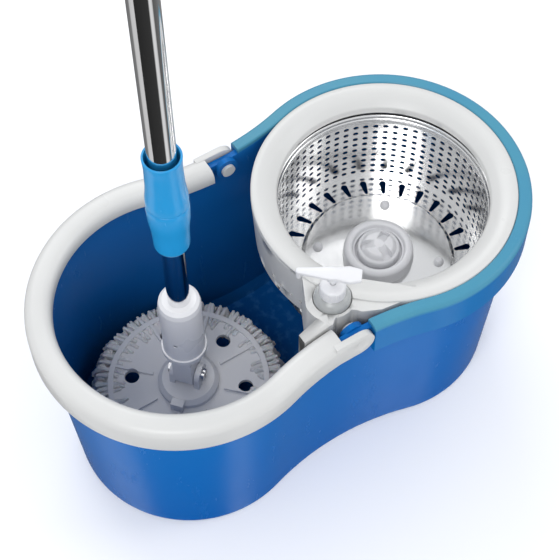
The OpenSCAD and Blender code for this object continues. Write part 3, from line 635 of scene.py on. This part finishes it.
def strand_path(angle, start, lift, reach, fall, sway, steps=15):
    """From the ring outwards, over its own hump, then down with a sway."""
    points = []
    for i in range(steps):
        t = i / (steps - 1)
        radius = start + (reach - start) * (1 - (1 - t) ** 2.2)
        z = lift * math.sin(math.pi * min(1.0, t * 1.6)) - fall * t ** 1.7
        a = angle + sway * math.sin(2.6 * t) * 0.5
        points.append(Vector(around(WASH, radius, a, STRAND_Z + z)))
    return points


def loop_path(angle, inner, turn, steps=13):
    """From the plate's edge up and over, to lie back on the plate."""
    points = []
    for i in range(steps):
        t = i / (steps - 1)
        bulge = 9.0 * math.sin(math.pi * min(1.0, t * 1.7))
        back = (LOOP_R - inner) * max(0.0, t * 1.5 - 0.5)
        rise = 9.5 * math.sin(math.pi * 0.5 * min(1.0, t * 1.8))
        points.append(Vector(around(WASH, LOOP_R + bulge - back, angle + turn * t,
                                    STRAND_Z + rise + 1.0)))
    return points


def strands():
    """Layers of strands out from the ring, and loops that lie back over the plate's edge."""
    bundle = []
    for count, start, reach, lift, fall, sway in LAYERS:
        for k in range(count):
            angle = 2 * math.pi * (k + RANDOM.uniform(-0.35, 0.35)) / count
            path = strand_path(angle, PLATE_R + start, lift + RANDOM.uniform(-0.5, 2.0),
                               PLATE_R + reach + RANDOM.uniform(-4.0, 0.5),
                               fall + RANDOM.uniform(-5.0, 3.0), RANDOM.uniform(-sway, sway))
            bundle.append(yarn(path, RANDOM.uniform(2.0, 2.5), RANDOM.choice((0.9, 1.1))))
    for k in range(LOOPS):
        angle = 2 * math.pi * (k + RANDOM.uniform(-0.4, 0.4)) / LOOPS
        inner = RANDOM.uniform(PLATE_R - 18.0, PLATE_R - 8.0)
        path = loop_path(angle, inner, RANDOM.uniform(-0.1, 0.1))
        bundle.append(yarn(path, RANDOM.uniform(1.8, 2.2), 1.0))
    piece("strands", *merge(*bundle), "microfibre", "mop_head", "mop_strands", sharp=80.0)


strands()

# ---- soap bottle and pump ----
RIBS = 36
RIB_DEPTH = 0.45
SPOUT_ANGLE = math.radians(142)
NECK_R = 8.9
NECK_BORE = 7.6
NECK_FOOT = 9.2   # the neck's foot, and the closure's bore


def bottle():
    """A thin shell with a rounded foot and shoulder, and an open neck."""
    low, high = box_mm("soap_bottle")
    r = radius_of("soap_bottle")
    shoulder = high.z - 12.5
    lathe("bottle", [
        (0, low.z), (r - 2.5, low.z, 1), (r, low.z + 2.5, 2), (r, shoulder - 3, 3),
        (r - 2.5, shoulder + 0.5, 2), (NECK_FOOT, shoulder + 3.2, 1.5), (NECK_R, high.z, 0.3),
        (NECK_BORE, high.z, 0.3), (NECK_BORE, shoulder + 2.2, 1), (r - 4, shoulder - 1.5, 1.5),
        (r - 1.4, shoulder - 5, 2), (r - 1.4, low.z + 3.5, 1.5), (r - 3.5, low.z + 1.6, 1),
        (0, low.z + 1.6)], BOTTLE, "clear_plastic", "bottle", "soap_bottle", segments=96)


def closure():
    """The screw cap, with ribs round its side that run out over its shoulder."""
    low, high = box_mm("pump_closure")
    r = radius_of("pump_closure")
    verts, faces = lathe_mesh(fillet([
        (NECK_FOOT, low.z), (r, low.z, 0.5), (r, high.z - 3.6, 1.2), (r - 2.0, high.z - 2.0, 1.5),
        (5.0, high.z - 0.4, 0.8), (2.6, high.z - 0.1, 0.2), (2.6, high.z - 1.6, 0.2),
        (NECK_FOOT, high.z - 4.0, 0.4)], 0.4), BOTTLE)
    ribbed = []
    for x, y, z in verts:
        dx = x - BOTTLE[0]
        dy = y - BOTTLE[1]
        radius = math.hypot(dx, dy)
        shrink = 1.0
        if radius > r - 0.6 and z > low.z + 1.0:
            depth = RIB_DEPTH * (1 if z < high.z - 3.4 else 0.4)
            shrink = (radius - depth * max(0.0, math.cos(RIBS * math.atan2(dy, dx)))) / radius
        ribbed.append((BOTTLE[0] + dx * shrink, BOTTLE[1] + dy * shrink, z))
    piece("closure", ribbed, faces, "white_plastic", "bottle", "pump_closure", material="mop_white")


def slab(outline, z0, z1, edge, crown):
    """A flat moulded form: an outline lofted through inset rings, with rounded edges and a crown."""
    count = len(outline)
    centre = Vector((sum(p[0] for p in outline) / count, sum(p[1] for p in outline) / count))
    levels = [(z0, -edge), (z0 + edge * 0.3, -edge * 0.3), (z0 + edge, 0.0), (z1 - edge, 0.0),
              (z1 - edge * 0.3, -edge * 0.3), (z1, -edge), (z1 + crown * 0.6, -edge * 2.5)]
    verts = []
    for z, inset in levels:
        for p in outline:
            away = Vector(p) - centre
            q = Vector(p) + away.normalized() * inset if away.length > -inset else centre
            verts.append((q.x, q.y, z))
    verts.append((centre.x, centre.y, z1 + crown))
    faces = loft_faces(len(levels), count)
    faces.append(list(reversed(range(count))))
    faces += fan_faces((len(levels) - 1) * count, count, len(verts) - 1)
    return verts, faces


def turned_by(points, angle, axis):
    """Points (x, y[, z]) turned about a vertical axis and moved to it."""
    c = math.cos(angle)
    s = math.sin(angle)
    return [(axis[0] + p[0] * c - p[1] * s, axis[1] + p[0] * s + p[1] * c, *p[2:]) for p in points]


def actuator():
    """The pump's head: a thumb pad that narrows to a spout, a boss round the stem, and a nozzle."""
    low, high = box_mm("pump_head")
    foot = high.z - 8.0
    half = [(-24, 5.5, 4), (-14, 8.2, 5), (-4, 6.2, 5), (5, 6.2, 5), (16, 4.4, 6), (31.5, 2.4, 1.5)]
    mirrored = [(x, -y, r) for x, y, r in half]
    outline = fillet(mirrored[:1] + half + mirrored[:0:-1], 3.0)
    pad_verts, pad_faces = slab(outline[::-1], foot + 3.6, high.z - 0.6, 1.1, 0.5)
    pad = (turned_by(pad_verts, SPOUT_ANGLE, BOTTLE), pad_faces)
    boss = lathe_mesh(fillet([(2.3, foot), (6.4, foot, 0.4), (6.0, foot + 4.6, 0.4),
                              (2.3, foot + 4.6, 0.2)], 0.3), BOTTLE, 48)
    tip = turned_by([(29, 0)], SPOUT_ANGLE, BOTTLE)[0]
    nozzle = lathe_mesh(fillet([(1.3, low.z), (2.3, low.z, 0.3), (2.6, foot + 4.4, 0.3),
                                (1.3, foot + 4.4, 0.2)], 0.2), tip, 32)
    piece("actuator", *merge(pad, boss, nozzle), "white_plastic", "pump", "pump_head",
          material="mop_white")


bottle()
closure()
actuator()


# ---- pole collars and grip ----
def upper_collar():
    """The cup on the upper tube's end: a neck for the lower collar, a shoulder and a waist."""
    low, high = box_mm("lock_cup")
    tube = radius_of("outer_tube")
    lathe("upper_collar", [
        (tube + 0.1, low.z + 6), (tube - 0.6, low.z), (tube + 1.6, low.z, 0.3),
        (tube + 1.6, low.z + 16.3, 0.2), (tube + 5.9, low.z + 16.4, 0.7),
        (tube + 5.8, low.z + 24, 6), (tube + 4.2, low.z + 38, 14), (tube + 3.5, high.z - 12, 9),
        (tube + 4.3, high.z - 0.5, 0.9), (tube + 2.5, high.z, 0.9), (tube + 2.0, high.z - 5, 3),
        (tube + 1.7, high.z - 14, 2), (tube + 0.1, high.z - 16, 0.5)],
        WASH, "sky_blue", "upper_pole", "lock_cup", segments=128)


def lower_collar():
    """The sleeve that turns round the lower tube; it flares to meet the upper collar."""
    low, high = box_mm("lock_sleeve")
    tube = radius_of("inner_tube")
    lathe("lower_collar", [
        (tube + 0.5, low.z + 0.6, 0.3), (tube + 3.4, low.z, 1.4), (tube + 5.0, low.z + 3, 3),
        (tube + 5.5, low.z + 24, 8), (tube + 7.3, high.z - 20, 8), (tube + 7.6, high.z - 4, 3),
        (tube + 7.0, high.z, 1.0), (tube + 3.5, high.z, 0.5), (tube + 3.5, low.z + 10, 2),
        (tube + 0.5, low.z + 6, 0.4)],
        WASH, "sky_blue", "lock", "lock_sleeve", segments=128)


def foam_grip():
    """A ribbed sleeve over the upper tube."""
    low, high = box_mm("grip")
    tube = radius_of("outer_tube")
    rib_count = 26
    ribs = []
    for k in range(rib_count):
        z = low.z + 12 + (high.z - low.z - 26) * k / (rib_count - 1)
        ribs += [(tube + 2.5, z, 0.5), (tube + 3.4, z + 1.2, 0.8), (tube + 2.5, z + 2.4, 0.5)]
    foot = [(tube + 0.1, low.z), (tube + 3.7, low.z, 1), (tube + 3.8, low.z + 5, 1.5),
            (tube + 2.6, low.z + 8, 1)]
    head = [(tube + 2.5, high.z - 1, 0.8), (tube + 0.1, high.z, 0.3)]
    lathe("foam_grip", foot + ribs + head, WASH, "sky_blue", "upper_pole", "grip", segments=96)


upper_collar()
lower_collar()
foam_grip()

# ---- stage ----
FLOOR_HALF = 6.0   # metres
AZIMUTH = math.radians(-31.885)
ELEVATION = math.radians(57.951)
ROLL = math.radians(-0.551)
DISTANCE = 1.395
LENS_MM = 95.63529
AIM = Vector((0, 0, 0.115))
AIM_RIGHT = -0.00359
AIM_UP = 0.02514


def white_floor():
    """A pale floor that the plastic and the steel don't mirror."""
    corners = [(x * FLOOR_HALF, y * FLOOR_HALF, 0) for x, y in ((-1, -1), (1, -1), (1, 1), (-1, 1))]
    mesh = bpy.data.meshes.new("floor")
    mesh.from_pydata(corners, [], [[0, 1, 2, 3]])
    n = Nodes("floor_white")
    colour = n.mix(n.span(n.noise(3.0), 0.3, 0.7, 0.0, 0.1), (0.93, 0.93, 0.935), (0.9, 0.9, 0.91))
    mesh.materials.append(n.set(Base_Color=colour, Roughness=0.6,
                                Normal=n.bump(n.noise(300.0), 0.0002, 0.2)))
    floor = linked("floor", mesh)
    floor.visible_glossy = False


def area(name, place, target, size, power):
    light = bpy.data.lights.new(name, "AREA")
    light.shape = "RECTANGLE"
    light.size, light.size_y = size
    light.energy = power
    obj = linked(name, light)
    obj.location = place
    obj.rotation_euler = (Vector(target) - Vector(place)).to_track_quat("-Z", "Y").to_euler()


# Light and dark below the horizon, for reflections: degrees from the camera's side, level. The floor hides
# them from the camera, and past its far edge a low view shows them.
BANDS = [(-150, 0.2), (-104, 0.25), (-94, 0.75), (-70, 0.8), (-58, 0.03), (36, 0.05), (44, 0.95), (62, 0.9),
         (74, 0.14), (150, 0.3)]
SKY_LIGHT = (0.95, 0.97, 1.0, 1)
SKY_STRENGTH = 0.84
HORIZON = 0.05   # half the height over which the bands give way to the even light above


def studio_world():
    world = bpy.data.worlds.new("studio")
    world.use_nodes = True
    bpy.context.scene.world = world
    tree = world.node_tree
    direction = tree.nodes.new("ShaderNodeSeparateXYZ")
    tree.links.new(tree.nodes.new("ShaderNodeTexCoord").outputs["Generated"], direction.inputs[0])
    compass = tree.nodes.new("ShaderNodeMath")
    compass.operation = "ARCTAN2"
    tree.links.new(direction.outputs[1], compass.inputs[0])
    tree.links.new(direction.outputs[0], compass.inputs[1])
    turn = tree.nodes.new("ShaderNodeMapRange")
    turn.inputs["From Min"].default_value = -math.pi
    turn.inputs["From Max"].default_value = math.pi
    tree.links.new(compass.outputs[0], turn.inputs["Value"])
    bands = tree.nodes.new("ShaderNodeValToRGB")
    tree.links.new(turn.outputs[0], bands.inputs["Fac"])
    view_from = (-90 + math.degrees(AZIMUTH) + 180) / 360   # the camera's place on the ramp
    stops = sorted(((view_from + angle / 360) % 1, level) for angle, level in BANDS)
    ramp = bands.color_ramp
    while len(ramp.elements) < len(stops):
        ramp.elements.new(0.5)
    for element, (position, level) in zip(ramp.elements, stops):
        element.position = position
        element.color = (level, level, level, 1)
    above = tree.nodes.new("ShaderNodeMapRange")
    above.inputs["From Min"].default_value = -HORIZON
    above.inputs["From Max"].default_value = HORIZON
    tree.links.new(direction.outputs[2], above.inputs["Value"])
    blend = tree.nodes.new("ShaderNodeMix")
    blend.data_type = "RGBA"
    tree.links.new(above.outputs[0], blend.inputs["Factor"])
    tree.links.new(bands.outputs[0], blend.inputs["A"])
    blend.inputs["B"].default_value = SKY_LIGHT
    background = tree.nodes["Background"]
    tree.links.new(blend.outputs["Result"], background.inputs["Color"])
    background.inputs["Strength"].default_value = SKY_STRENGTH


def camera():
    """Stands where the fit of the bucket's rim, base and opening puts it."""
    right = Vector((math.cos(AZIMUTH), math.sin(AZIMUTH), 0))
    back = Vector((math.sin(AZIMUTH) * math.cos(ELEVATION), -math.cos(AZIMUTH) * math.cos(ELEVATION),
                   math.sin(ELEVATION)))
    up = back.cross(right)
    lens = bpy.data.cameras.new("camera")
    lens.lens = LENS_MM
    lens.clip_end = 50
    obj = linked("camera", lens)
    place = AIM + back * DISTANCE + right * AIM_RIGHT + up * AIM_UP
    rolled_right = right * math.cos(ROLL) + up * math.sin(ROLL)
    rolled_up = up * math.cos(ROLL) - right * math.sin(ROLL)
    turn = Matrix((rolled_right, rolled_up, back)).transposed()
    obj.matrix_world = Matrix.Translation(place) @ turn.to_4x4()
    bpy.context.scene.camera = obj


white_floor()
area("key", (-1.0, -0.9, 1.7), (0, 0, 0.15), (0.9, 0.9), 15)
area("fill", (1.3, -0.7, 1.2), (0, 0, 0.15), (0.7, 1.2), 6)
area("back", (0.3, 1.4, 1.6), (0, 0, 0.2), (1.4, 0.7), 12)
studio_world()
bpy.context.scene.view_settings.view_transform = "Standard"
camera()
